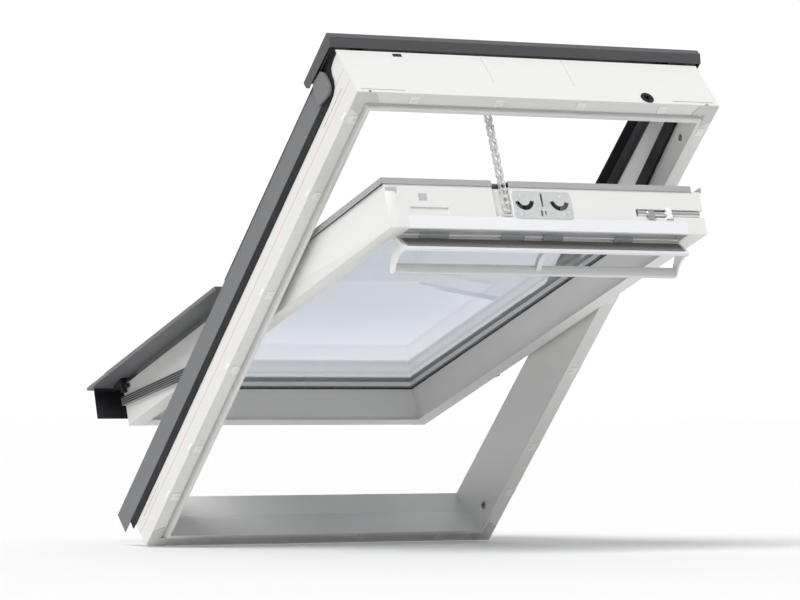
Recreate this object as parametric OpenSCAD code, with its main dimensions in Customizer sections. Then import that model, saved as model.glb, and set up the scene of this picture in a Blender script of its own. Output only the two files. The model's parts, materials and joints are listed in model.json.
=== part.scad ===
// Centre-pivot roof window with its frame, chain drive and ventilation flap.
// Modules are drawn in the window's own frame, before it is laid at the roof pitch:
// x across the width, y from the room-side ledge outwards, z up the slope from the lower face.

/* [Frame] */
// Width over the frame members
frame_w = 780; // [550:1:1340]
// Height over the frame members
frame_h = 1178; // [980:1:1600]
// Depth of the moulded members behind the ledge
frame_depth = 113; // [108:1:120]
// Width of a member, outer face to inner face
member_w = 37; // [36:0.5:44]
// Pitch of the roof that the window lies in
roof_pitch = 45; // [15:1:90]
// Height of the lip that the room lining meets
lip_h = 9; // [6:0.5:12]
// Thickness of the lip
lip_t = 6.5; // [5:0.5:8]
// Width of the lining groove outside the lip
groove_w = 6.5; // [5:0.5:8]
// Depth of the lining groove
groove_depth = 5; // [3:0.5:5.5]

/* [Sash] */
// How far the sash stands open
open_angle = 26; // [5:1:40]
// Gap between a sash side and a stile
side_gap = 13; // [12:0.5:16]
// Gap between the sash ends and the rails
end_gap = 3.5; // [3.5:0.5:6]
// Depth of the closed sash behind the ledge
set_back = 35; // [33:1:38]
// Depth of the moulded sash members
sash_depth = 84; // [82:1:86]
// Width of a sash stile up to the glass
sash_stile_w = 41; // [38:1:50]
// Width of the sash bottom rail up to the glass
sash_foot_w = 41; // [38:1:50]
// Width of the sash top rail, which holds the ventilation channel
sash_head_w = 78; // [72:1:100]
// Depth of the pivot axis behind the ledge
pivot_y = 155; // [150:1:165]
// Drop of the pivot axis below the middle of the frame
pivot_drop = 3; // [0:1:10]
// Radius of the curved hinge guide
guide_r = 85; // [80:1:88]

/* [Glazing] */
// Depth of the room face of the glass in the sash
glass_y = 64; // [60:1:66]
// Thickness of each pane
pane_t = 4; // [3:0.5:5]
// Gap between the panes
pane_gap = 16; // [12:1:16]
// Width of glass hidden in the rebate
glass_bite = 16; // [12:1:17]

/* [Cladding] */
// Thickness of the folded aluminium
sheet_t = 1.5; // [1:0.1:2]
// Overhang of the side claddings below the frame
cladding_tail = 42; // [20:1:60]
// Depth at which the side claddings end
cladding_edge = 124; // [123:1:126]

/* [Ventilation flap] */
// Width of the flap and its handle bar
flap_w = 604; // [400:2:620]
// How far the flap stands open
flap_open = 49; // [20:1:55]
// Drop of the flap's rod below the top of the sash
flap_drop = 40.5; // [40:0.5:46]

/* [Fittings] */
// Sideways place of the chain
chain_x = -88; // [-120:1:-88]
// Diameter of the barrel bolt
bolt_d = 13.5; // [12:0.5:14]
// Sideways place of the cable grommet
grommet_x = 234; // [150:1:260]
// Bore of the cable grommet
grommet_bore = 10; // [8:0.5:11]

/* [Hidden] */
$fn = 48;

white = "#f2f2f0";
dark_metal = "#6f7072";
black = "#1e1e22";
steel = "#c8cacb";
e = 0.01;
half_w = frame_w / 2;
inner_half = half_w - member_w;
sash_w = frame_w - 2 * (member_w + side_gap);
sash_h = frame_h - 2 * (member_w + end_gap);
sash_half = sash_w / 2;
sash_z0 = member_w + end_gap;
sash_z1 = sash_z0 + sash_h;
pivot_z = frame_h / 2 - pivot_drop;
sash_back = set_back + sash_depth;
pane_y0 = set_back + glass_y;
pane_y1 = pane_y0 + 2 * pane_t + pane_gap;
clad_y = pane_y1 + 7;
low_clad_y = clad_y + 1;
cover_y = low_clad_y + 6;
clad_half = sash_half + 4.6;
low_half = half_w + 8;
rod_z = sash_z1 - flap_drop;
rod_y = set_back + 3.5;
rod_r = 2.5;
chan_y = 25;
chan_half = flap_w / 2 - 2;
lock_x = -12.5;
lock_y = set_back + 50;
lock_w = 126;
lock_d = 52;
claw_r = 16.5;
claw_dx = 37.5;
claw_y = set_back + 60;
claw_well = 14;
bolt_y = set_back + 40;
bolt_z = sash_z1 - 6;
bolt_x0 = sash_half - 146;
bolt_x1 = sash_half - 9;
guide_x = sash_half - 83;
bush_depth = 12;
outlet = [chain_x, 68, frame_h - member_w + 4];
recess_x0 = chain_x - 26;
recess_x1 = chain_x + 10;
hook_y = set_back + 30;
hook_z = sash_z1 - 3;
link_r = 5;
chain_run = closed([outlet[1], outlet[2]]) - [hook_y, hook_z];
chain_fall = -chain_run[1] / chain_run[0];
recess_h = max(12, sash_z1 - hook_z + (clad_y - hook_y) * chain_fall + link_r * norm([1, chain_fall]) + 1.9);

// A closed sash point [y, z] moved to where the open sash carries it
function opened(p) = [
    pivot_y + (p[0] - pivot_y) * cos(open_angle) - (p[1] - pivot_z) * sin(open_angle),
    pivot_z + (p[0] - pivot_y) * sin(open_angle) + (p[1] - pivot_z) * cos(open_angle)];

// A point [y, z] beside the open sash moved to where it would lie with the sash shut
function closed(p) = [
    pivot_y + (p[0] - pivot_y) * cos(open_angle) + (p[1] - pivot_z) * sin(open_angle),
    pivot_z - (p[0] - pivot_y) * sin(open_angle) + (p[1] - pivot_z) * cos(open_angle)];

// Lays the window at the roof pitch, its lower face centred on the origin
module laid() rotate([90 - roof_pitch, 0, 0]) translate([0, -frame_depth / 2, 0]) children();

// Turns the closed sash about its pivot to the open angle
module on_sash() laid() translate([0, pivot_y, pivot_z]) rotate([open_angle, 0, 0])
    translate([0, -pivot_y, -pivot_z]) children();

// A section of the flap, [up the sash, into the room] from its rod, turned to where the flap stands
module on_flap(x, width) on_sash() translate([x, rod_y, rod_z]) rotate([flap_open, 0, 0])
    across(width) mirror([0, 1]) children();

// Extrudes a section drawn as [height, depth] across the width
module across(width) rotate([0, 90, 0]) linear_extrude(width, center = true) mirror([1, 0])
    children();

// Puts a part drawn for the left side on the side asked for
module on_side(right) if (right) mirror([1, 0, 0]) children(); else children();

// A block from its two corners
module block(a, b) translate(a) cube(b - a);

// A disc whose axis runs across the width, from x0 over a length
module round_bar(x0, y, z, r, len) translate([x0, y, z]) rotate([0, 90, 0]) cylinder(r = r, h = len);

// ---- frame members ----

// Section of a frame member: [inward, outward], with the lip and the lining groove
module member_section(back) {
    lip_x = member_w - lip_t;
    polygon(concat([[0, 0], [lip_x - groove_w, 0], [lip_x - groove_w, groove_depth],
        [lip_x, groove_depth], [lip_x, -lip_h], [member_w, -lip_h]], back, [[0, frame_depth]]));
}

// Short slots for the mounting brackets, on all four outer faces
slot_len = 92;
slot_inset = 35;
module bracket_slots() {
    for (side = [-1, 1], z = [slot_inset, frame_h - slot_inset - slot_len])
        translate([side * half_w, 46.5, z + slot_len / 2]) cube([4, 2.2, slot_len], center = true);
    for (side = [-1, 1])
        translate([side * (half_w - 10 - slot_len / 2), 8, frame_h]) cube([slot_len, 2.2, 4], center = true);
}

module frame_stile(right) color(white) laid() difference() {
    on_side(right) translate([-half_w, 0, 0]) linear_extrude(frame_h)
        member_section([[member_w, frame_depth]]);
    bracket_slots();
    on_side(right) {
        ledge_corner();
        translate([0, 0, frame_h]) mirror([0, 0, 1]) ledge_corner();
    }
    if (right) bush_bores();
}

// Where the lip stops short of a corner and the lining groove turns it
module ledge_corner() {
    lip_x = member_w - lip_t;
    block([-half_w + lip_x - e, -lip_h - 1, -1], [-inner_half + 1, 0, lip_x]);
    block([-half_w + lip_x - e, -1, lip_x - groove_w], [-inner_half + 1, groove_depth, lip_x]);
}

module frame_bottom_rail() color(white) laid() difference() {
    across(2 * inner_half)
        member_section([[member_w - 4, 38], [member_w - 17, 60], [member_w - 17, frame_depth]]);
    bracket_slots();
}

// Pocket in the top rail for the drive, and the open well that the chain leaves by
pocket_y0 = 42;
pocket_y1 = 102;
pocket_h = 28;
drive_x0 = chain_x + 26;
drive_x1 = 230;
grommet_y = 14;
grommet_half = grommet_bore / 2 + 3;
// Square seat of the grommet, from a depth below the rail's upper face to a height above it
module grommet_seat(depth, above) block([grommet_x - grommet_half, grommet_y - grommet_half, frame_h - depth],
    [grommet_x + grommet_half, grommet_y + grommet_half, frame_h + above]);

module frame_top_rail() color(white) laid() difference() {
    translate([0, 0, frame_h]) mirror([0, 0, 1]) across(2 * inner_half)
        member_section([[member_w, frame_depth]]);
    block([chain_x - 24, pocket_y0, frame_h - member_w - 1],
        [drive_x1, pocket_y1, frame_h - member_w + pocket_h]);
    bracket_slots();
    for (x = [-87, 87]) block([x - 0.6, 41, frame_h - 2], [x + 0.6, frame_depth - 1, frame_h + 1]);
    grommet_seat(20, 1);
    block([-275, 101, frame_h - 6], [-256, 108, frame_h + 1]);
}

// ---- fittings on the ledge ----

// L-shaped cover plates over the four corners of the ledge
module corner_plate() translate([-half_w, 0, 0]) rotate([90, 0, 0]) linear_extrude(1.5)
    polygon([[1, 1], [40, 1], [54, 23], [23, 23], [23, 54], [1, 40]]);

module corner_pieces() color("#d5d5d3") laid() for (right = [false, true], top = [false, true])
    on_side(right) translate([0, 0, top ? frame_h : 0]) mirror([0, 0, top ? 1 : 0]) corner_plate();

// Places along one side, as distances from the middle of the member
side_spots = [-0.765, -0.544, -0.182, 0.146, 0.57, 0.888];
end_spots = [-0.685, -0.226, 0.226, 0.685];
module at_clips() {
    for (side = [-1, 1], s = side_spots)
        translate([side * (half_w - 15), 0, frame_h / 2 * (1 + s)]) rotate([90, side * 90, 0]) children();
    for (s = end_spots) {
        translate([s * half_w, 0, frame_h - 15]) rotate([90, 0, 0]) children();
        translate([s * half_w, 0, 15]) rotate([90, 180, 0]) children();
    }
}

// Moulded tab with a hole, drawn flat: its outer edge points along +y
module lining_clips() color(white) laid() at_clips() difference() {
    translate([-9, -8, 0]) cube([18, 17, 1.6]);
    translate([0, -3, -1]) cylinder(d = 4, h = 4);
}

module clip_screws() color(steel) laid() at_clips() {
    translate([0, -3, 1.6]) cylinder(d = 7.5, h = 1.2);
}

// ---- gaskets and claddings of the frame ----

gasket_y0 = 58;
gasket_y1 = 76.6;
clad_end = frame_h - 90;

// Flat strip on a stile that widens in a curve round the hood cover
module side_gaskets() color(black) laid() for (right = [false, true]) on_side(right)
    translate([-half_w, 0, 0]) rotate([0, -90, 0]) linear_extrude(2.4) polygon([[-12, gasket_y0],
        [frame_h - 84, gasket_y0], [frame_h - 62, gasket_y0 + 2], [frame_h - 50, gasket_y0 + 8],
        [frame_h - 42, gasket_y0 + 19], [frame_h - 40, gasket_y0 + 32], [frame_h - 34, 101],
        [frame_h - 18, 105], [frame_h - 2, 106], [frame_h - 2, frame_depth],
        [clad_end + 0.4, frame_depth], [clad_end + 0.4, gasket_y1], [-12, gasket_y1]]);

// Lateral strip that closes the frame's side, its tail running past the lower end
module side_cladding(right) color(dark_metal) laid() on_side(right) {
    translate([-half_w - 1 - sheet_t, 0, -cladding_tail]) linear_extrude(clad_end + cladding_tail)
        polygon([[0, gasket_y1 + 0.4], [sheet_t, gasket_y1 + 0.4], [sheet_t, cladding_edge],
            [0, cladding_edge]]);
    block([-half_w - 1 - sheet_t, cladding_edge - sheet_t, 60],
        [-half_w + 26, cladding_edge, pivot_z - 22]);
    block([-half_w + 8, frame_depth, 90], [-half_w + 20, cladding_edge - sheet_t + e, pivot_z - 30]);
    block([-half_w - 1 - e, 85, 300], [-half_w, 100, 330]);
    block([-half_w - 1 - e, 85, frame_h - 330], [-half_w, 100, frame_h - 300]);
}

// Cap over the top of the frame, folded from one sheet, open to the room
hood_out = 12;
hood_y = cover_y + 7;
hood_leg = 108;
module top_hood() color("#55565a") laid() difference() {
    union() {
        across(2 * (half_w + hood_out)) polygon([[frame_h - hood_leg, hood_y - sheet_t],
            [frame_h + 12, hood_y - sheet_t], [frame_h + 15 - sheet_t, 131], [frame_h + 2, 119],
            [frame_h + 2, 117], [frame_h + 3.5, 117], [frame_h + 15, 131], [frame_h + 13, hood_y],
            [frame_h - hood_leg, hood_y]]);
        for (side = [-1, 1]) translate([side * (half_w + hood_out - sheet_t / 2), 0, 0])
            rotate([0, -90, 0]) linear_extrude(sheet_t, center = true) polygon([[frame_h - hood_leg, hood_y],
                [frame_h - hood_leg, hood_y - 14], [frame_h - hood_leg + 6, 122],
                [frame_h - 52, 120], [frame_h + 2, 117.6], [frame_h + 14, 131], [frame_h + 12, hood_y]]);
        for (right = [false, true]) on_side(right)
            block([-half_w + 14, cover_y, frame_h - 60], [-half_w + 30, hood_y - sheet_t + e, frame_h - 30]);
    }
    block([-half_w + 95, 120, frame_h - hood_leg - 1], [half_w - 95, hood_y + 1, frame_h - 62]);
}

// Moulded cover that closes the corner between the hood and the side cladding
module hood_cover(right) color("#9b9b9e") laid() on_side(right)
    translate([-half_w - sheet_t - 1, 0, frame_h]) rotate([0, -90, 0]) linear_extrude(6)
        polygon([[-56, 117], [-50, 104], [-50, 86], [-53, 73], [-59, 66.5], [-67, 65], [-100, 75],
            [-105, 79], [-105, 86], [-94, 118], [-88, 122]]);

// Folded cover over the upper half of a stile, under the hood
cover_z0 = pivot_z + 8;
cover_z1 = frame_h - 2;
cover_in = member_w + side_gap + 4;
module upper_cover(right) color(dark_metal) laid() on_side(right)
    translate([-half_w, 0, cover_z0]) linear_extrude(cover_z1 - cover_z0) {
        polygon([[-2.5, cladding_edge], [8, cover_y - sheet_t], [cover_in, cover_y - sheet_t],
            [cover_in, cover_y], [7, cover_y], [-4.2, cladding_edge]]);
        translate([10, frame_depth]) square([12, cover_y - sheet_t + e - frame_depth]);
    }

module cover_gaskets() color(black) laid() for (right = [false, true]) on_side(right)
    block([-half_w + cover_in - 7, cover_y - sheet_t - 3.2, cover_z0 + 2],
        [-half_w + cover_in + 15, cover_y - sheet_t, cover_z1 - 2]);

// Oblique seal on the inner face of a stile, deeper towards the top
seal_w = 28;
seal_t = 7;
module frame_seals() color(black) laid() for (right = [false, true]) on_side(right)
    translate([-inner_half, 0, 0])
    rotate([90, 0, 90]) linear_extrude(seal_t) polygon([[19, pivot_z + 120],
        [19 + seal_w, pivot_z + 120], [42 + seal_w, frame_h - member_w - 29], [42, frame_h - member_w - 29]]);

// ---- curved hinges ----

// A sector of a ring about the pivot, drawn as [height, depth] from the pivot; angle 0 faces the room
module ring_sector(r0, r1, a0, a1) intersection() {
    difference() {
        circle(r1, $fn = 96);
        circle(r0, $fn = 96);
    }
    polygon([[0, 0], 2 * r1 * [sin(a0), -cos(a0)], 2 * r1 * [sin((a0 + a1) / 2), -cos((a0 + a1) / 2)],
        2 * r1 * [sin(a1), -cos(a1)]]);
}

// Puts a pivot-centred section on the left side at x, with thickness t towards the stile
module at_pivot(x, t) translate([x - t / 2, pivot_y, pivot_z]) across(t) children();

shoe_half = 5;
shoe_span = 14;
swing = open_angle / 2;
plate_t = 3;
module guide_plate(right) color(steel) laid() on_side(right) difference() {
    at_pivot(-inner_half + plate_t, plate_t) difference() {
        ring_sector(guide_r - 17, guide_r + 17, -swing - shoe_span - 12, swing + shoe_span + 12);
        ring_sector(guide_r - shoe_half - 0.3, guide_r + shoe_half + 0.3,
            -swing - shoe_span - 1.5, swing + shoe_span + 1.5);
    }
    for (a = [-34, 34], r = [-11, 11]) at_pivot(-inner_half + plate_t + 1, plate_t + 2)
        translate([(guide_r + r) * sin(a), -(guide_r + r) * cos(a)]) circle(d = 4.5);
}

module hinge_slide(right) color(steel) on_sash() on_side(right) {
    at_pivot(-sash_half, plate_t)
        ring_sector(guide_r - 19, guide_r + 19, swing - shoe_span - 4, swing + shoe_span + 4);
    at_pivot(-sash_half - plate_t + e, side_gap - plate_t - 0.8)
        ring_sector(guide_r - shoe_half, guide_r + shoe_half, swing - shoe_span, swing + shoe_span);
}

// ---- chain drive ----

module drive_housing() color("#d8d8d8") laid() difference() {
    union() {
        block([drive_x0, pocket_y0 + 1, frame_h - member_w + 0.6],
            [drive_x1 - 1, pocket_y1 - 1, frame_h - member_w + pocket_h - 0.5]);
        block([chain_x - 23, pocket_y0 + 1, outlet[2] + chain_pitch + link_r - 0.3],
            [drive_x0 + e, pocket_y1 - 1, frame_h - member_w + pocket_h - 0.5]);
        block([chain_x - 20, pocket_y0 + 4, frame_h - member_w + pocket_h - 2],
            [chain_x - 10, pocket_y0 + 14, frame_h - member_w + pocket_h]);
    }
    block([drive_x0 + 3, pocket_y0 + 4, frame_h - member_w + 3],
        [drive_x1 - 4, pocket_y1 - 4, frame_h - member_w + pocket_h - 3]);
}

module drive_motor() color("#8a8c90") laid() {
    round_bar(drive_x1 - 104, 84, frame_h - member_w + 14, 10, 100);
    round_bar(drive_x1 - 112, 84, frame_h - member_w + 14, 3, 8 + e);
}

// Push chain, straight from the drive's well down to the hook on the sash
hook = opened([hook_y, hook_z]);
chain_dir = [hook[0] - outlet[1], hook[1] - outlet[2]];
chain_len = norm(chain_dir) - 9;
chain_n = round(chain_len / 14);
chain_pitch = chain_len / chain_n;
module link(wide) for (side = [-1, 1]) translate([side * (wide ? 5.2 : 3.35), 0, 0])
    rotate([0, 90, 0]) linear_extrude(1.9, center = true) {
        for (end = [0, chain_pitch]) translate([-end, 0]) circle(r = wide ? link_r : link_r - 0.3);
        translate([-chain_pitch, -3.6]) square([chain_pitch, 7.2]);
    }

module chain() color(steel) laid() translate(outlet) {
    link(false);
    rotate([atan2(-chain_dir[0], chain_dir[1]), 0, 0]) {
        for (i = [0:chain_n - 1]) translate([0, 0, i * chain_pitch]) link(i % 2 == 0);
        for (i = [0:chain_n]) translate([0, 0, i * chain_pitch]) round_bar(-6.8, 0, 0, 2.2, 13.6);
    }
}

// Lugs and pin that the chain's end hooks on, fixed in the recess
module chain_bracket() color(steel) on_sash() {
    block([chain_x - 10, hook_y - 4, sash_z1 - recess_h],
        [chain_x + 10, hook_y + 5, sash_z1 - recess_h + 1.6]);
    for (side = [-1, 1]) block([chain_x - 1 + 9 * side, hook_y - 4, sash_z1 - recess_h],
        [chain_x + 1 + 9 * side, hook_y + 4, hook_z + 3]);
    round_bar(chain_x - 9, hook_y, hook_z, 2, 18);
}

// ---- grommet, bushes and peg ----

module cable_grommet() color(black) laid() difference() {
    union() {
        translate([grommet_x, grommet_y, frame_h]) cylinder(d = 26, h = 1.6);
        grommet_seat(19.5, e);
    }
    translate([grommet_x, grommet_y, frame_h - 21]) cylinder(d = grommet_bore, h = 24);
}

// Places [y, z] of the sockets that hold the barrel bolt while airing and while cleaning
bush_places = [[14, frame_h - 94], [21, 80]];
bush_wall = 1.4;
bush_r = bolt_d / 2 + 0.4;
module bush_bores() for (p = bush_places)
    round_bar(inner_half - 1, p[0], p[1], bush_r + bush_wall, bush_depth + 1);

module bolt_bushes() color("#cfd0d0") laid() for (p = bush_places) difference() {
    union() {
        round_bar(inner_half, p[0], p[1], bush_r + bush_wall - 0.05, bush_depth - 0.2);
        round_bar(inner_half - 0.9, p[0], p[1], bush_r + bush_wall + 1.4, 0.9 + e);
    }
    round_bar(inner_half - 1, p[0], p[1], bush_r, bush_depth - 0.4);
}

module hood_peg() color(black) laid() block([-274, 101.5, frame_h - 6], [-257, 107.5, frame_h + 1.5]);

// ---- sash members ----

// Section of a sash stile or foot: [inward, outward] from the outer room-side corner
module sash_section(w) polygon([[0, 0], [w - 8, 0], [w - 8, 2.5], [w - 13, 4.5], [w - 13, 10],
    [w, glass_y], [w - glass_bite - 1, glass_y], [w - glass_bite - 1, sash_depth], [0, sash_depth]]);

module sash_stile(right) color(white) on_sash() difference() {
    on_side(right) translate([-sash_half, set_back, sash_z0]) linear_extrude(sash_h)
        sash_section(sash_stile_w);
    if (right) bolt_channel();
}

module sash_bottom_rail() color(white) on_sash() difference() {
    translate([0, set_back, sash_z0]) across(sash_w - 2) sash_section(sash_foot_w);
    for (right = [false, true]) stile_room(right);
}

// Room that a sash stile takes from the end of a rail: the stile and all outside it
module stile_room(right) on_side(right) translate([-sash_half - 10, set_back - 1, sash_z0 - 1])
    linear_extrude(sash_h + 2) polygon([[0, 0], [sash_stile_w + 2, 0], [sash_stile_w + 2, 3.5],
        [sash_stile_w - 3, 5.5], [sash_stile_w - 3, 11], [sash_stile_w + 10, glass_y + 1],
        [sash_stile_w - glass_bite + 9, glass_y + 1], [sash_stile_w - glass_bite + 9, sash_depth + 2],
        [0, sash_depth + 2]]);

// Top rail: channel for the flap, wells for the lock and the barrel bolt in its top face
module sash_top_rail() color(white) on_sash() difference() {
    translate([0, set_back, sash_z1]) mirror([0, 0, 1]) across(sash_w - 2) sash_section(sash_head_w);
    for (right = [false, true]) stile_room(right);
    block([-chan_half, set_back - 1, rod_z - 5.4], [chan_half, set_back + chan_y, sash_z1 + 1]);
    round_bar(-chan_half - 5, rod_y, rod_z, rod_r, 2 * chan_half + 10);
    lock_well();
    bolt_channel();
    chain_recess(sash_back + 1);
    block([-sash_half + 48, set_back + 26.5, sash_z1 - 3], [-sash_half + 128, set_back + 41, sash_z1 + 1]);
}

// Recess across the top of the sash that the chain lies in
module chain_recess(y1)
    block([recess_x0, set_back + chan_y, sash_z1 - recess_h], [recess_x1, y1, sash_z1 + 4]);

module lock_well() block([lock_x - lock_w / 2 + 4, lock_y - lock_d / 2 + 4, sash_z1 - claw_well],
    [lock_x + lock_w / 2 - 4, lock_y + lock_d / 2 - 4, sash_z1 + 1]);

module bolt_channel() {
    block([bolt_x0 - 4, bolt_y - bolt_d / 2 - 0.5, bolt_z - bolt_d / 2 - 0.5],
        [sash_half + 1, bolt_y + bolt_d / 2 + 0.5, sash_z1 + 1]);
    block([guide_x, bolt_y - 10.8, bolt_z - 8.8], [guide_x + 11, bolt_y + 10.8, sash_z1 + 1]);
    block([guide_x - 46, set_back + chan_y + 1, sash_z1 - 4], [guide_x + 14, bolt_y, sash_z1 + 1]);
}

// ---- glazing ----

module pane(y, inset) block([-sash_half + sash_stile_w - glass_bite + inset, y,
        sash_z0 + sash_foot_w - glass_bite + inset],
    [sash_half - sash_stile_w + glass_bite - inset, y + pane_t, sash_z1 - sash_head_w + glass_bite - inset]);

module inner_pane() color("#dfe8ee", 0.4) on_sash() pane(pane_y0, 0);

module outer_pane() color("#dfe8ee", 0.4) on_sash() pane(pane_y1 - pane_t, 0);

// A rectangular ring round the glass, of width w, its outer edge inset from the glass edge
module glass_ring(y0, y1, inset, w) difference() {
    ring_block(y0, y1, inset);
    ring_block(y0 - 1, y1 + 1, inset + w);
}

module ring_block(y0, y1, inset) block([-sash_half + sash_stile_w - glass_bite + inset, y0,
        sash_z0 + sash_foot_w - glass_bite + inset],
    [sash_half - sash_stile_w + glass_bite - inset, y1, sash_z1 - sash_head_w + glass_bite - inset]);

module glass_spacer() color(steel) on_sash()
    glass_ring(pane_y0 + pane_t, pane_y1 - pane_t, 6, 14);

module glazing_gasket() color(black) on_sash() glass_ring(pane_y0 - 1.2, pane_y0, glass_bite + 0.6, 3);

module rain_gasket() color(black) on_sash() glass_ring(pane_y1, clad_y - sheet_t, glass_bite - 4, 4);

// ---- sash claddings ----

clad_inner = sash_half - sash_stile_w + 1;
clad_top_z = sash_z1 + 2.4;
clad_split = pivot_z - 12;
low_skirt = 8;
module sash_cladding_top() color("#9a9a9c") on_sash() difference() {
    union() {
        block([-clad_half, clad_y - sheet_t, sash_z1 - sash_head_w + 1],
            [clad_half - 24, clad_y, clad_top_z]);
        block([-clad_half, sash_back - 0.5, sash_z1 + 0.9],
            [clad_half - 24, clad_y - sheet_t + e, clad_top_z]);
    }
    chain_recess(clad_y + 1);
}

module sash_cladding_side(right) color(dark_metal) on_sash() on_side(right) {
    block([-clad_half, clad_y - sheet_t, clad_split + 3], [-clad_inner, clad_y, sash_z1 - sash_head_w + 0.8]);
    block([-clad_half, sash_back - 0.5, clad_split + 3],
        [-clad_half + sheet_t, clad_y - sheet_t + e, sash_z1 - (right ? 0 : 1)]);
}

module lower_cladding_side(right) color(dark_metal) on_sash() on_side(right) {
    block([-low_half, low_clad_y - sheet_t, sash_z0 + sash_foot_w - 1],
        [-clad_inner, low_clad_y, clad_split]);
    block([-low_half, low_clad_y - low_skirt, sash_z0 - 44],
        [-low_half + sheet_t, low_clad_y - sheet_t + e, clad_split]);
    block([-sash_half + 4, sash_back, sash_z0 + 60],
        [-sash_half + 4 + sheet_t, low_clad_y - sheet_t + e, clad_split - 20]);
}

// Depth of the skirt's inner face at a height z
function skirt_y(z) = low_clad_y - sheet_t - 0.076 * (sash_z0 + 8 - z);

module lower_cladding_bottom() color(dark_metal) on_sash()
    across(2 * (low_half - sheet_t - 0.2)) polygon([[sash_z0 + sash_foot_w - 1.2, low_clad_y],
        [sash_z0 + 8, low_clad_y], [sash_z0 - 45, low_clad_y - 4], [sash_z0 - 46, low_clad_y - 6.5],
        [sash_z0 - 44.5, low_clad_y - 6.5], [sash_z0 - 43.5, skirt_y(sash_z0 - 43.5)],
        [sash_z0 + 8, low_clad_y - sheet_t], [sash_z0 + sash_foot_w - 1.2, low_clad_y - sheet_t]]);

// Rubber apron that hangs in front of the frame's lower face when the sash is shut
module apron_seal() color(black) on_sash() across(2 * (half_w - 6)) polygon([[-2, 64], [-1.2, 66],
    [-1.6, low_clad_y - 9], [sash_z0 - 36, skirt_y(sash_z0 - 36)],
    [sash_z0 - 42, skirt_y(sash_z0 - 42)], [-4.8, 66]]);

module cladding_brackets() color(black) on_sash() for (right = [false, true]) on_side(right) {
    block([-sash_half - 11, sash_back - 18, sash_z0 + 8], [-sash_half, low_clad_y - sheet_t, sash_z0 + 16]);
    block([-sash_half - 11, frame_depth + 2, sash_z0 - 20], [-sash_half, low_clad_y - 5.5, sash_z0 + 8 + e]);
    block([-sash_half - 8, sash_back - 12, sash_z0 + 22], [-sash_half, sash_back - 4, sash_z0 + 30]);
}

// Oblique seal on the outer side of a sash stile, deeper towards the bottom
module sash_seal(right) color(black) on_sash() on_side(right)
    translate([-sash_half - 9, set_back, sash_z0]) rotate([90, 0, 90]) linear_extrude(9)
        polygon([[42, 0], [59, 0], [21, 300], [2, 300]]);

// ---- fittings of the sash ----

// Aluminium strip over the ventilation channel
module vent_trim() color("#ececef") on_sash() {
    block([-chan_half, set_back + 0.4, sash_z1 - 2], [chan_half, set_back + chan_y, sash_z1]);
    block([-chan_half, set_back + 0.4, sash_z1 - 6], [chan_half, set_back + 2, sash_z1 - 2 + e]);
}

// An arc-shaped slot or arm about a claw's centre
module claw_arc(r0, r1, a0, a1) intersection() {
    difference() {
        circle(r1);
        circle(r0);
    }
    polygon([[0, 0], 40 * [cos(a0), sin(a0)], 40 * [cos((a0 + a1) / 2), sin((a0 + a1) / 2)],
        40 * [cos(a1), sin(a1)]]);
}

module at_claw(right) translate([lock_x, claw_y, 0]) on_side(right) translate([-claw_dx, 0, 0])
    children();

plate_z = sash_z1;
plate_th = 2;
module rounded_plate(w, d, r) {
    square([w - 2 * r, d], center = true);
    square([w, d - 2 * r], center = true);
    for (x = [-1, 1], y = [-1, 1]) translate([x * (w / 2 - r), y * (d / 2 - r)]) circle(r);
}

module lock_plate() color(steel) on_sash() {
    difference() {
        translate([lock_x, lock_y, plate_z]) linear_extrude(plate_th) rounded_plate(lock_w, lock_d, 8);
        for (right = [false, true]) at_claw(right) translate([0, 0, plate_z - 1])
            linear_extrude(plate_th + 2) claw_arc(claw_r - 4.5, claw_r + 4.5, -165, -10);
        block([lock_x - 2.2, lock_y - 4, plate_z - 1], [lock_x + 2.2, lock_y + 24, plate_z + plate_th + 1]);
        block([lock_x - 6, lock_y - 24, plate_z - 1], [lock_x - 1.5, lock_y - 11, plate_z + plate_th + 1]);
        block([lock_x + 2.5, lock_y - 20, plate_z - 1], [lock_x + 6, lock_y - 12, plate_z + plate_th + 1]);
    }
    for (right = [false, true]) at_claw(right) {
        translate([0, 0, plate_z - claw_well + 1]) cylinder(r = 2.5, h = claw_well - 1 + e);
        for (p = [[-5, 17], [-8, -19], [-20, -14]]) translate([p[0], p[1] - 10, plate_z + plate_th - e])
            cylinder(d = 5, h = 0.9);
    }
}

// Claw that turns on its rivet and shows in the plate's arc-shaped slot
module lock_claw(right) color("#3c3e42") on_sash() at_claw(right) difference() {
    union() {
        translate([0, 0, plate_z - claw_well + 1.5]) cylinder(r = 6, h = claw_well - 2);
        translate([0, 0, plate_z - 4.5]) linear_extrude(4) claw_arc(0, claw_r + 3, -90, -14);
        translate([0, 0, plate_z - 4.5]) linear_extrude(plate_th + 4)
            claw_arc(claw_r - 3.5, claw_r + 3, -90, -14);
    }
    translate([0, 0, plate_z - claw_well]) cylinder(r = 2.56, h = claw_well);
}

// Bolt with a waist and a thumb tab, sliding towards the stile
module barrel_bolt() color(steel) on_sash() {
    round_bar(bolt_x0, bolt_y, bolt_z, bolt_d / 2, guide_x - 26 - bolt_x0);
    round_bar(guide_x - 26 - e, bolt_y, bolt_z, bolt_d / 2 - 1.8, 25 + 2 * e);
    round_bar(guide_x - 1, bolt_y, bolt_z, bolt_d / 2, bolt_x1 - guide_x + 1);
    block([guide_x - 42, set_back + chan_y + 2, sash_z1 + 0.4], [guide_x - 28, bolt_y + 6, sash_z1 + 2.4]);
    block([guide_x - 39, bolt_y - 3, bolt_z + 4], [guide_x - 31, bolt_y + 3, sash_z1 + 0.4 + e]);
}

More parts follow.
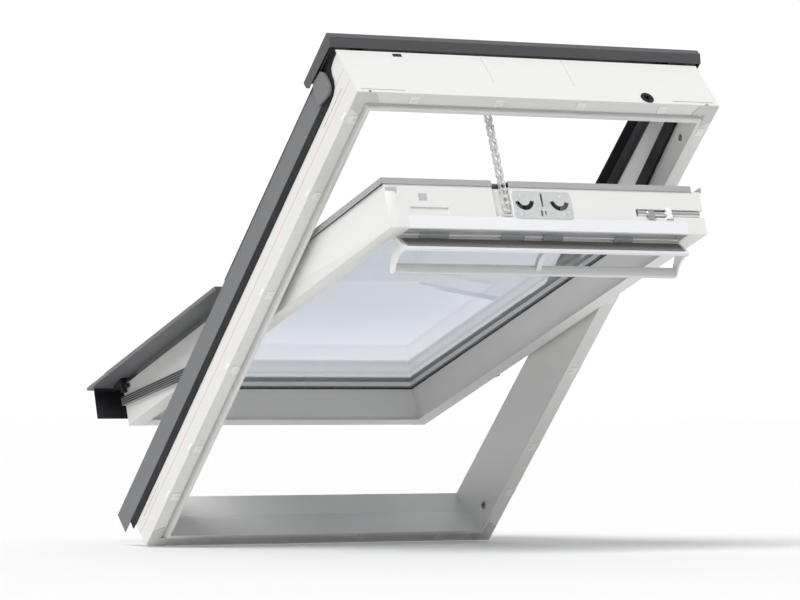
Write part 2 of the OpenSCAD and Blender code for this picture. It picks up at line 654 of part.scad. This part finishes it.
module bolt_guide() color(white) on_sash() difference() {
    block([guide_x, bolt_y - 10.8, bolt_z - 8.8], [guide_x + 11, bolt_y + 10.8, sash_z1 + 2.4]);
    round_bar(guide_x - 1, bolt_y, bolt_z, bolt_d / 2 + 0.1, 13);
}

module flap_rod() color(steel) on_sash()
    round_bar(-chan_half - 5, rod_y, rod_z, rod_r, 2 * chan_half + 10);

// ---- ventilation flap and control bar ----

module flap_section() polygon([[0.5, 6], [2, 5.5], [36, 5.5], [39.5, 8], [38.8, 13], [34, 15.2],
    [10, 12], [0.5, 9]]);

module handle_section() translate([17, 61]) rotate(61) union() {
    square([11, 9], center = true);
    for (s = [-5.5, 5.5]) translate([s, 0]) circle(r = 4.5);
}

module vent_flap() color("#efefef") on_flap(0, flap_w) flap_section();

// Open clips that turn on the rod, as [middle, width]
clip_spots = [[-62, 50], [24, 42], [-flap_w / 2 + 74, 60], [flap_w / 2 - 124, 40]];
module rod_clips() color("#a9abad") for (c = clip_spots) on_flap(c[0], c[1]) difference() {
    union() {
        circle(r = 4.6);
        square([4.6, 5.5]);
    }
    circle(r = rod_r + 0.3);
    translate([-6, -6]) square([6, 4.6]);
}

module filter_strip() color("#77777a") on_flap(0, flap_w - 8) translate([7.5, 3.9]) square([27, 1.6]);

module handle_bar() color("#e2e4e3") on_flap(0, flap_w) handle_section();

module end_caps() color("#e9ebea") for (side = [-1, 1]) on_flap(side * (flap_w / 2 + 2), 4)
    polygon([[0.5, 6.5], [3, 5.5], [36, 5.5], [39.5, 8], [38.8, 13], [31, 20], [25.5, 32], [23.5, 48],
        [25.5, 62], [22, 70], [15, 72], [8.5, 60], [2, 32], [-3, 11]]);

module bar_bracket() color("#bfc1c0") on_flap(0, 10) difference() {
    polygon([[24, 10], [36, 10], [27, 24], [22.5, 36], [22, 58], [14, 58], [11, 44], [15, 24]]);
    flap_section();
    handle_section();
}

frame_top_rail();
frame_bottom_rail();
frame_stile(false);  // frame_left_stile
frame_stile(true);  // frame_right_stile
corner_pieces();
lining_clips();
clip_screws();
side_gaskets();
side_cladding(false);  // side_cladding_left
side_cladding(true);  // side_cladding_right
top_hood();
hood_cover(false);  // hood_cover_left
hood_cover(true);  // hood_cover_right
upper_cover(false);  // upper_cover_left
upper_cover(true);  // upper_cover_right
cover_gaskets();
frame_seals();
guide_plate(false);  // guide_plate_left
guide_plate(true);  // guide_plate_right
drive_housing();
drive_motor();
chain();
cable_grommet();
bolt_bushes();
hood_peg();
sash_top_rail();
sash_bottom_rail();
sash_stile(false);  // sash_left_stile
sash_stile(true);  // sash_right_stile
inner_pane();
outer_pane();
glass_spacer();
glazing_gasket();
rain_gasket();
sash_cladding_top();
sash_cladding_side(false);  // sash_cladding_left
sash_cladding_side(true);  // sash_cladding_right
lower_cladding_side(false);  // lower_cladding_left
lower_cladding_side(true);  // lower_cladding_right
lower_cladding_bottom();
apron_seal();
cladding_brackets();
sash_seal(false);  // sash_seal_left
sash_seal(true);  // sash_seal_right
hinge_slide(false);  // hinge_slide_left
hinge_slide(true);  // hinge_slide_right
vent_trim();
lock_plate();
lock_claw(false);  // lock_claw_left
lock_claw(true);  // lock_claw_right
chain_bracket();
barrel_bolt();
bolt_guide();
flap_rod();
vent_flap();
filter_strip();
handle_bar();
end_caps();
bar_bracket();
rod_clips();
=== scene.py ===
import json
import math

import bmesh
import bpy
import numpy as np
from mathutils import Matrix, Vector


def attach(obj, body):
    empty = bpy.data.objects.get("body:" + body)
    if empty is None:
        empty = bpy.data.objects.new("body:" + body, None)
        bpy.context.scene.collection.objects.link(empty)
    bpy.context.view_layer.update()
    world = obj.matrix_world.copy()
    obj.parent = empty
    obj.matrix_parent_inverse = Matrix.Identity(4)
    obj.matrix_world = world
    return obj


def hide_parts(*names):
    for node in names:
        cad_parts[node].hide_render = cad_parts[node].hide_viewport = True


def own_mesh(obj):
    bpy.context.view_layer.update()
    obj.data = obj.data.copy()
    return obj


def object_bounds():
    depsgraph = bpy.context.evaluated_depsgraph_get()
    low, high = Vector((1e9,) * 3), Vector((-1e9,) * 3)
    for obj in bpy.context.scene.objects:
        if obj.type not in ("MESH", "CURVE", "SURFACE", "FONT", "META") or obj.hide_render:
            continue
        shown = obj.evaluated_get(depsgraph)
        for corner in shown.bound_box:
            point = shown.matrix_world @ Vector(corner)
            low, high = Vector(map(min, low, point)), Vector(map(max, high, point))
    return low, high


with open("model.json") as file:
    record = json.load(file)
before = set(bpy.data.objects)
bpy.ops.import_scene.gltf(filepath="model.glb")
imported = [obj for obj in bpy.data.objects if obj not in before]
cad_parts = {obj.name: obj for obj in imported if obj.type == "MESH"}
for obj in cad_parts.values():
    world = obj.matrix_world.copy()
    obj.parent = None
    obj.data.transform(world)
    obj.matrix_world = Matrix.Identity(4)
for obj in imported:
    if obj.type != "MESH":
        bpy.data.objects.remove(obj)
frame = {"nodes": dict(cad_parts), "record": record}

cad_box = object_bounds()

# ---- studio ----
# A pale floor under the window, a bright backdrop behind it, a dimmer room in front of it and
# one broad key light from above on the left, so that the undersides of white members turn grey.


def linear(colour):
    """An sRGB hex colour such as "f4f4f2" as linear red, green, blue and alpha 1."""
    c = np.array([int(colour[i:i + 2], 16) / 255 for i in (0, 2, 4)])
    return (*np.where(c <= 0.04045, c / 12.92, ((c + 0.055) / 1.055) ** 2.4), 1.0)


def add(tree, kind, values=None, **settings):
    """Adds one shader node: values fills its sockets with numbers or links, settings its properties."""
    made = tree.nodes.new(kind)
    for name, value in settings.items():
        setattr(made, name, value)
    for name, value in (values or {}).items():
        if isinstance(value, bpy.types.NodeSocket):
            tree.links.new(value, made.inputs[name])
        else:
            made.inputs[name].default_value = value
    return made


scene = bpy.context.scene
scene.view_settings.view_transform = "Standard"
world = bpy.data.worlds.new("studio")
world.use_nodes = True
sky = world.node_tree
backdrop = (0.50, 0.86, 0.05)
front_level, back_level = 0.26, 1.04
towards = add(sky, "ShaderNodeTexCoord").outputs["Generated"]
facing = add(sky, "ShaderNodeVectorMath", {0: towards, 1: backdrop}, operation="DOT_PRODUCT")
level = add(sky, "ShaderNodeMapRange", {"Value": facing.outputs["Value"], "From Min": 0.1, "From Max": 0.85,
                                        "To Min": front_level, "To Max": back_level},
            interpolation_type="SMOOTHSTEP")
sky.links.new(level.outputs["Result"], sky.nodes["Background"].inputs["Strength"])
sky.nodes["Background"].inputs["Color"].default_value = (1.0, 1.0, 1.0, 1.0)
scene.world = world

floor_half = 60.0
floor_z = cad_box[0][2] - 0.002
floor_mesh = bpy.data.meshes.new("studio_floor")
floor_mesh.from_pydata(
    [(x * floor_half, y * floor_half, floor_z) for x, y in ((-1, -1), (1, -1), (1, 1), (-1, 1))],
    [], [(0, 1, 2, 3)])
floor = bpy.data.objects.new("studio_floor", floor_mesh)
scene.collection.objects.link(floor)
floor_paint = bpy.data.materials.new("white floor paint")
floor_paint.use_nodes = True
floor_paint.node_tree.nodes["Principled BSDF"].inputs["Base Color"].default_value = linear("ececec")
floor_paint.node_tree.nodes["Principled BSDF"].inputs["Roughness"].default_value = 0.95
floor_mesh.materials.append(floor_paint)

suns = (("key", 2.5, 35, (-0.62, -0.42, 0.85)), ("top", 0.5, 60, (0.1, -0.5, 1.0)))
for name, energy, spread_degrees, where in suns:
    light = bpy.data.lights.new(name, "SUN")
    light.energy = energy
    light.angle = math.radians(spread_degrees)
    lamp = bpy.data.objects.new(name, light)
    lamp.matrix_world = Vector(where).to_track_quat("Z", "Y").to_matrix().to_4x4()
    scene.collection.objects.link(lamp)

camera_data = bpy.data.cameras.new("camera")
camera_data.lens = 198.3
camera_data.sensor_width = 36.0
camera_place = (-4.268, -7.696, 0.232)
camera = bpy.data.objects.new("camera", camera_data)
camera_right = Vector((0.865, -0.5027, -0.0007)).normalized()
camera_back = Vector((-0.502, -0.864, -0.024)).normalized()
camera_up = camera_back.cross(camera_right).normalized()
camera_back = camera_right.cross(camera_up)
camera.matrix_world = Matrix.Translation(camera_place) @ Matrix(
    (camera_right, camera_up, camera_back)).transposed().to_4x4()
scene.collection.objects.link(camera)
scene.camera = camera

# ---- how pieces are made and finished ----
# A moulding, casting or folded sheet has small rounds where the CAD solid has sharp edges, and
# its finish is never quite even, so each finish has broad patches, a fine grain and varied gloss.


def finish(name, low, high, patch_mm, grain_mm, grain_height_mm, gloss, along=(1, 1, 1), **sockets):
    """A Principled material on object coordinates: noise patches of patch_mm mix the colours low
    and high, the same noise moves roughness between the two gloss values, and a finer noise of
    grain_mm raises bumps of grain_height_mm. along squeezes both noises, so that a value under 1
    draws them out along that axis."""
    made = bpy.data.materials.new(name)
    made.use_nodes = True
    tree = made.node_tree
    shader = tree.nodes["Principled BSDF"]
    for socket, value in sockets.items():
        shader.inputs[socket.replace("_", " ")].default_value = value
    where = add(tree, "ShaderNodeTexCoord").outputs["Object"]
    drawn = add(tree, "ShaderNodeMapping", {"Vector": where, "Scale": along}).outputs["Vector"]
    patches = add(tree, "ShaderNodeTexNoise", {"Vector": drawn, "Scale": 1000 / patch_mm, "Detail": 4.0})
    colour = add(tree, "ShaderNodeMix", {"Factor": patches.outputs["Fac"], 6: linear(low), 7: linear(high)},
                 data_type="RGBA")
    tree.links.new(colour.outputs[2], shader.inputs["Base Color"])
    roughness = add(tree, "ShaderNodeMapRange", {"Value": patches.outputs["Fac"], "From Min": 0.3,
                                                 "From Max": 0.7, "To Min": gloss[0], "To Max": gloss[1]})
    tree.links.new(roughness.outputs["Result"], shader.inputs["Roughness"])
    grain = add(tree, "ShaderNodeTexNoise", {"Vector": drawn, "Scale": 1000 / grain_mm, "Detail": 2.0})
    bump = add(tree, "ShaderNodeBump", {"Height": grain.outputs["Fac"], "Distance": grain_height_mm / 1000})
    tree.links.new(bump.outputs["Normal"], shader.inputs["Normal"])
    return made


def shown(name, mesh, paint, body):
    """Makes the mesh an object with that paint, riding on that body."""
    piece = bpy.data.objects.new(name, mesh)
    scene.collection.objects.link(piece)
    mesh.materials.clear()
    mesh.materials.append(paint)
    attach(piece, body)
    return piece


slight_turn, sharp_turn = math.radians(1), math.radians(28)


def rounded_copy(name, nodes, edge_mm, paint, body, long_mm=0.0, segments=2):
    """A merged copy of CAD nodes whose sharp edges longer than long_mm are rounded by edge_mm. It
    takes only points and faces from them, so that its shading follows its own rounded shape."""
    mesh = bpy.data.meshes.new(name)
    shape = bmesh.new()
    for source in nodes:
        solid = frame["nodes"][source].data
        bare = bpy.data.meshes.new("bare")
        bare.from_pydata([v.co for v in solid.vertices], [], [f.vertices for f in solid.polygons])
        shape.from_mesh(bare)
        bpy.data.meshes.remove(bare)
    for face in shape.faces:
        face.smooth = False
    bmesh.ops.remove_doubles(shape, verts=shape.verts, dist=2e-6)
    weight = shape.edges.layers.float.new("bevel_weight_edge")
    for edge in shape.edges:
        turn = edge.calc_face_angle(0.0) if len(edge.link_faces) == 2 else 0.0
        edge[weight] = float(turn > sharp_turn and edge.calc_length() > long_mm / 1000)
        if slight_turn < turn < sharp_turn:
            for face in edge.link_faces:
                face.smooth = True
    shape.to_mesh(mesh)
    shape.free()
    mesh.polygons.foreach_set("material_index", np.zeros(len(mesh.polygons), dtype=np.int32))
    mesh.set_sharp_from_angle(angle=sharp_turn)
    piece = shown(name, mesh, paint, body)
    if edge_mm:
        rounding = piece.modifiers.new("rounded edges", "BEVEL")
        rounding.width = edge_mm / 1000
        rounding.segments = segments
        rounding.limit_method = "WEIGHT"
        rounding.use_clamp_overlap = True
    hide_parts(*nodes)
    return piece


# ---- the window's two frames of reference ----
# Details are placed in millimetres, in the frame's or the closed sash's own directions: across,
# away from the room, and up the slope.
half_depth = 56.5
lower_face = next(m for m in frame["record"]["mounts"] if m["name"] == "lower_face")
up_slope = -np.array(lower_face["axis"])
frame_axes = np.array([(1, 0, 0), np.cross(up_slope, (1, 0, 0)), up_slope])
frame_origin = np.array(lower_face["pos_m"]) - half_depth / 1000 * frame_axes[1]
joints = {j["name"]: j for j in frame["record"]["behaviour"]["joints"]}
sash_up = np.array(joints["claw_left_turn"]["axis"])
sash_axes = np.array([(1, 0, 0), np.cross(sash_up, (1, 0, 0)), sash_up])
pivot_yz = (155.0, 586.0)
sash_origin = np.array(joints["sash_pivot"]["pos_m"]) - pivot_yz[0] / 1000 * sash_axes[1] \
    - pivot_yz[1] / 1000 * sash_axes[2]


def placed(points, origin, axes):
    """Points in millimetres along the axes, as metres in the row's frame."""
    return origin + np.asarray(points, float) / 1000 @ axes


def brick(name, low, high, origin, axes, paint, body, edge_mm=0.3):
    """A block between two corners given in millimetres along the axes, with rounded edges."""
    low, high = np.minimum(low, high), np.maximum(low, high)
    corner = np.array([(x, y, z) for x in (0, 1) for y in (0, 1) for z in (0, 1)])
    mesh = bpy.data.meshes.new(name)
    mesh.from_pydata(placed(low + corner * (high - low), origin, axes).tolist(), [],
                     [(0, 1, 3, 2), (4, 6, 7, 5), (0, 4, 5, 1), (2, 3, 7, 6), (0, 2, 6, 4), (1, 5, 7, 3)])
    piece = shown(name, mesh, paint, body)
    if edge_mm:
        rounding = piece.modifiers.new("rounded edges", "BEVEL")
        rounding.width = edge_mm / 1000
        rounding.segments = 2
    return piece


# ---- white members ----
# Rails and stiles of the frame and the sash: a timber core moulded over with white polyurethane, satin, its
# long edges rounded by the mould; here only the sash's bottom rail and left stile get rounded edges.
white_pu = finish("white moulded polyurethane", "e6e6e4", "e1e1de", 110, 2.4, 0.05, (0.34, 0.46), IOR=1.5)
for part in ("frame_top_rail", "frame_bottom_rail", "frame_left_stile", "frame_right_stile"):
    rounded_copy(part + "_moulding", [part], 0.0, white_pu, "frame")
for part in ("sash_top_rail", "sash_right_stile"):
    rounded_copy(part + "_moulding", [part], 0.0, white_pu, "sash")
for part in ("sash_bottom_rail", "sash_left_stile"):
    rounded_copy(part + "_moulding", [part], 1.2, white_pu, "sash",
                 long_mm=150, segments=3)

# ---- ledge fittings ----
# Pale grey moulded corner plates, white clips for the room lining and their screws, all
# pressed or screwed onto the ledge. Each side clip has a wing on the stile's outer face.
corner_paint = finish("pale grey moulded nylon", "c9c9c7", "d2d2d0", 30, 1.2, 0.03, (0.42, 0.55), IOR=1.53)
rounded_copy("corner_plates", ["corner_pieces"], 0.4, corner_paint, "frame")
clip_paint = finish("white moulded acetal", "f4f4f2", "ececea", 12, 0.8, 0.02, (0.28, 0.4), IOR=1.48)
rounded_copy("lining_clip_tabs", ["lining_clips"], 0.25, clip_paint, "frame")
rounded_copy("bolt_guide_block", ["bolt_guide"], 0.5, clip_paint, "sash")
stile_face, half_height, wing_thickness = 390, 589, 1.4
wing_z = [half_height * (1 + s) for s in (-0.765, -0.544, -0.182, 0.146, 0.57, 0.888)]
for side, where in ((-1, "left"), (1, "right")):
    for number, z in enumerate(wing_z):
        brick(f"{where}_clip_wing_{number + 1}", (side * stile_face, 0.5, z - 7),
              (side * (stile_face + wing_thickness), 9, z + 9), frame_origin, frame_axes,
              clip_paint, "frame", edge_mm=0.5)

# ---- printed lines ----
# Two thin lines printed along the stile's outer face: a red one along its whole length and a
# short blue one at the top, both on both sides.
red_ink = finish("red printed ink", "e58f8f", "e89a9a", 15, 0.8, 0.01, (0.35, 0.45), IOR=1.5)
blue_ink = finish("blue printed ink", "a3a8e0", "adb2e6", 15, 0.8, 0.01, (0.35, 0.45), IOR=1.5)
ink_thickness, line_start, line_end, blue_start = 0.15, 4, 1174, 1126
for side, where in ((-1, "left"), (1, "right")):
    under, over = side * stile_face, side * (stile_face + ink_thickness)
    brick(where + "_red_line", (under, 33.6, line_start), (over, 34.7, line_end), frame_origin, frame_axes,
          red_ink, "frame", edge_mm=0)
    brick(where + "_blue_line", (under, 66.2, blue_start), (over, 67.2, line_end), frame_origin, frame_axes,
          blue_ink, "frame", edge_mm=0)

# ---- labels ----
# The type plate and the small code label on the sash's upper face, both left blank.
label_paper = finish("silver label film", "c4c5c6", "cfd0d1", 10, 0.5, 0.01, (0.3, 0.45), Metallic=0.3)
sash_top, label_top = 1137.5, 1137.7
brick("type_plate", (-339, 105, sash_top), (-314, 113, label_top), sash_origin, sash_axes,
      label_paper, "sash", edge_mm=0)
brick("code_label", (-272, 88, sash_top), (-254, 102, label_top), sash_origin, sash_axes,
      label_paper, "sash", edge_mm=0)

# ---- seals ----
# Extruded black rubber: matt, its fine grain drawn out along each strip by the die.
rubber = finish("extruded black rubber", "121216", "1b1b20", 40, 1.5, 0.06, (0.5, 0.66), (0.08, 1, 1),
                IOR=1.52, Specular_IOR_Level=0.3)
for name, part, body in (("side_strips", "side_gaskets", "frame"),
                         ("cover_strips", "cover_gaskets", "frame"),
                         ("oblique_frame_seals", "frame_seals", "frame"),
                         ("glazing_strip", "glazing_gasket", "sash"), ("rain_strip", "rain_gasket", "sash"),
                         ("apron", "apron_seal", "sash"), ("grommet", "cable_grommet", "frame")):
    edge_mm = 0.8 if part == "side_gaskets" else 0.4
    rounded_copy(name, [part], edge_mm, rubber, body, long_mm=3)
# A sash seal is ribbed lengthwise: its colour follows the distance across the strip, painted lighter
# towards each rib's crest as a painted highlight.
seal_slope = math.atan2(39, 300)
rib_pitch = 0.0042
across_seal = sash_axes[1] * math.cos(seal_slope) + sash_axes[2] * math.sin(seal_slope)
ribbed = finish("ribbed black rubber, painted crest highlights", "232327", "2a2a2e", 40, 1.5, 0.06, (0.45, 0.6), IOR=1.52,
                Specular_IOR_Level=0.35)
tree = ribbed.node_tree
where = add(tree, "ShaderNodeTexCoord").outputs["Object"]
distance = add(tree, "ShaderNodeVectorMath", {0: where, 1: tuple(across_seal)}, operation="DOT_PRODUCT")
phase = add(tree, "ShaderNodeMath", {0: distance.outputs["Value"], 1: math.tau / rib_pitch},
            operation="MULTIPLY")
wave = add(tree, "ShaderNodeMath", {0: phase.outputs["Value"]}, operation="SINE")
painted_crest_highlight = add(tree, "ShaderNodeMapRange", {"Value": wave.outputs["Value"], "From Min": 0.2, "From Max": 1.0})
# The crest tone is a painted highlight on each rib's crest; the groove tone is the rubber's own near black.
groove_tone, crest_highlight_tone = linear("242428"), linear("8e8f90")
tone = add(tree, "ShaderNodeMix", {"Factor": painted_crest_highlight.outputs["Result"], 6: groove_tone, 7: crest_highlight_tone},
           data_type="RGBA")
tree.links.new(tone.outputs[2], tree.nodes["Principled BSDF"].inputs["Base Color"])
for side in ("left", "right"):
    rounded_copy(side + "_sash_seal", ["sash_seal_" + side], 0.6, ribbed, "sash", long_mm=3)
black_plastic = finish("black moulded nylon", "1c1c20", "26262a", 18, 0.9, 0.03, (0.4, 0.55), IOR=1.53)
rounded_copy("hood_tab", ["hood_peg"], 0.4, black_plastic, "frame")
rounded_copy("corner_bracket_blocks", ["cladding_brackets"], 0.8, black_plastic, "sash")

# ---- claddings ----
# Folded aluminium sheet with a baked grey lacquer: satin, with small round folds and a faint
# rolling grain along the sheet.
lacquer = finish("grey lacquered aluminium", "6c6d6f", "747577", 160, 1.1, 0.02, (0.36, 0.48), (0.3, 1, 1),
                 IOR=1.5)
for name, part, body in (("left_cladding", "side_cladding_left", "frame"),
                         ("right_cladding", "side_cladding_right", "frame"),
                         ("left_upper_cover", "upper_cover_left", "frame"),
                         ("right_upper_cover", "upper_cover_right", "frame"),
                         ("left_lower_cladding", "lower_cladding_left", "sash"),
                         ("right_lower_cladding", "lower_cladding_right", "sash"),
                         ("bottom_cladding", "lower_cladding_bottom", "sash")):
    rounded_copy(name, [part], 0.4, lacquer, body, long_mm=10)
hood_lacquer = finish("dark grey lacquered aluminium", "4b4b4e", "525255", 160, 1.1, 0.02, (0.34, 0.46),
                      (0.3, 1, 1), IOR=1.5)
rounded_copy("hood", ["top_hood"], 0.4, hood_lacquer, "frame", long_mm=10)
light_lacquer = finish("light grey lacquered aluminium", "a6a6a7", "aeaeaf", 160, 1.1, 0.02, (0.36, 0.48),
                       (0.3, 1, 1), IOR=1.5)
for name, part in (("top_sash_cladding", "sash_cladding_top"), ("left_sash_cladding", "sash_cladding_left"),
                   ("right_sash_cladding", "sash_cladding_right")):
    rounded_copy(name, [part], 0.4, light_lacquer, "sash", long_mm=10)
cover_plastic = finish("grey moulded ABS", "707072", "7a7a7c", 25, 1.0, 0.03, (0.4, 0.52), IOR=1.53)
rounded_copy("left_hood_cover", ["hood_cover_left"], 0.8, cover_plastic, "frame")
rounded_copy("right_hood_cover", ["hood_cover_right"], 0.8, cover_plastic, "frame")

# ---- steel fittings ----
# Pressed and turned steel: zinc plated plates with a faint spangle, a brighter nickel plated
# bolt and chain, and a dark zinc casting for the claws and the motor.
zinc_steel = finish("galvanised steel", "e6e8e8", "f2f3f3", 9, 0.7, 0.01, (0.3, 0.44), Metallic=0.55)
for name, part, body in (("left_guide", "guide_plate_left", "frame"),
                         ("right_guide", "guide_plate_right", "frame"),
                         ("left_slide", "hinge_slide_left", "sash"),
                         ("right_slide", "hinge_slide_right", "sash"),
                         ("chain_hook", "chain_bracket", "sash"),
                         ("clip_screw_heads", "clip_screws", "frame"),
                         ("flap_pivot_rod", "flap_rod", "sash"),
                         ("lock_cover", "lock_plate", "sash")):
    rounded_copy(name, [part], 0.25, zinc_steel, body)
nickel = finish("nickel plated steel", "d4d5d4", "e2e3e1", 14, 0.6, 0.008, (0.22, 0.34), (0.2, 1, 1),
                Metallic=0.85)
rounded_copy("sliding_bolt", ["barrel_bolt"], 0.5, nickel, "bolt")
rounded_copy("bolt_sockets", ["bolt_bushes"], 0.3, nickel, "frame")
chain_steel = finish("plated chain steel", "dcdede", "eceded", 6, 0.5, 0.01, (0.3, 0.42), Metallic=0.6)
drive_chain = rounded_copy("drive_chain", ["chain"], 0.2, chain_steel, "frame")
dark_zinc = finish("dark zinc casting", "3a3c40", "46484c", 8, 0.8, 0.02, (0.42, 0.55), Metallic=1.0)
rounded_copy("left_claw", ["lock_claw_left"], 0.3, dark_zinc, "claw_left")
rounded_copy("right_claw", ["lock_claw_right"], 0.3, dark_zinc, "claw_right")
rounded_copy("motor", ["drive_motor"], 0.3, dark_zinc, "frame")
drive_paint = finish("grey moulded polycarbonate", "d2d2d2", "dadada", 30, 1.0, 0.03, (0.4, 0.5), IOR=1.58)
rounded_copy("drive_case", ["drive_housing"], 0.8, drive_paint, "frame")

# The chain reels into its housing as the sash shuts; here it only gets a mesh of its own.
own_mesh(drive_chain)

# ---- glass ----
# A sealed double pane of clear float glass with a faint cool cast. Its edge is a bright spacer
# bar between two black lines of sealant.
glass = finish("clear float glass", "f3f6fb", "f5f8fc", 300, 60, 0.002, (0.0, 0.004), IOR=1.52,
               Transmission_Weight=1.0)
for part in ("inner_pane", "outer_pane"):
    rounded_copy(part + "_glass", [part], 0.0, glass, "sash")
spacer = finish("bright spacer bar", "f0f2f3", "f8f9fa", 20, 0.6, 0.005, (0.3, 0.4), (0.1, 1, 1),
                Metallic=0.2)
rounded_copy("spacer_bar", ["glass_spacer"], 0.0, spacer, "sash")
sealant = finish("black butyl sealant", "15151a", "1e1e23", 20, 1.2, 0.05, (0.5, 0.65), IOR=1.5)
bead, bead_rise, gap_y0, gap_y1 = 3.4, 0.6, 103.0, 119.0
seen_x, seen_z0, seen_z1 = 295.0, 85.5, 1055.5
for number, (y0, y1) in enumerate(((gap_y0, gap_y0 + bead), (gap_y1 - bead, gap_y1))):
    for name, low, high in (("left", (-seen_x, y0, seen_z0), (bead_rise - seen_x, y1, seen_z1)),
                            ("right", (seen_x - bead_rise, y0, seen_z0), (seen_x, y1, seen_z1)),
                            ("lower", (-seen_x, y0, seen_z0), (seen_x, y1, seen_z0 + bead_rise)),
                            ("upper", (-seen_x, y0, seen_z1 - bead_rise), (seen_x, y1, seen_z1))):
        brick(f"{name}_sealant_bead_{number + 1}", low, high, sash_origin, sash_axes, sealant, "sash",
              edge_mm=0)

# ---- flap ----
# The ventilation flap and its grip bar are extruded aluminium, lacquered white or anodised, with
# moulded end caps and clips; a strip of grey felt lies along the flap as a filter.
white_lacquer = finish("white lacquered aluminium", "e6e8ec", "eceef2", 120, 1.0, 0.01, (0.28, 0.36),
                       (0.2, 1, 1), IOR=1.5)
rounded_copy("channel_trim", ["vent_trim"], 0.4, white_lacquer, "sash")
rounded_copy("flap", ["vent_flap"], 0.6, white_lacquer, "flap")
anodised = finish("anodised aluminium", "d4d6d5", "dee0df", 60, 0.6, 0.006, (0.3, 0.38), (0.05, 1, 1),
                  Metallic=0.6)
rounded_copy("grip_bar", ["handle_bar"], 0.0, anodised, "flap")
rounded_copy("middle_bracket", ["bar_bracket"], 0.5, anodised, "flap")
cap_plastic = finish("white moulded ABS", "e6e8e7", "eceeed", 15, 0.9, 0.02, (0.28, 0.38), IOR=1.53)
rounded_copy("flap_end_caps", ["end_caps"], 0.8, cap_plastic, "flap")
clip_grey = finish("grey moulded acetal", "a3a5a7", "adafb1", 10, 0.7, 0.02, (0.36, 0.46), IOR=1.48)
rounded_copy("pivot_clips", ["rod_clips"], 0.3, clip_grey, "flap")
felt = finish("grey filter felt", "7c7a78", "94928f", 3, 0.35, 0.25, (0.9, 1.0), (0.5, 1, 1),
              Specular_IOR_Level=0.1)
rounded_copy("filter_felt", ["filter_strip"], 0.3, felt, "flap")
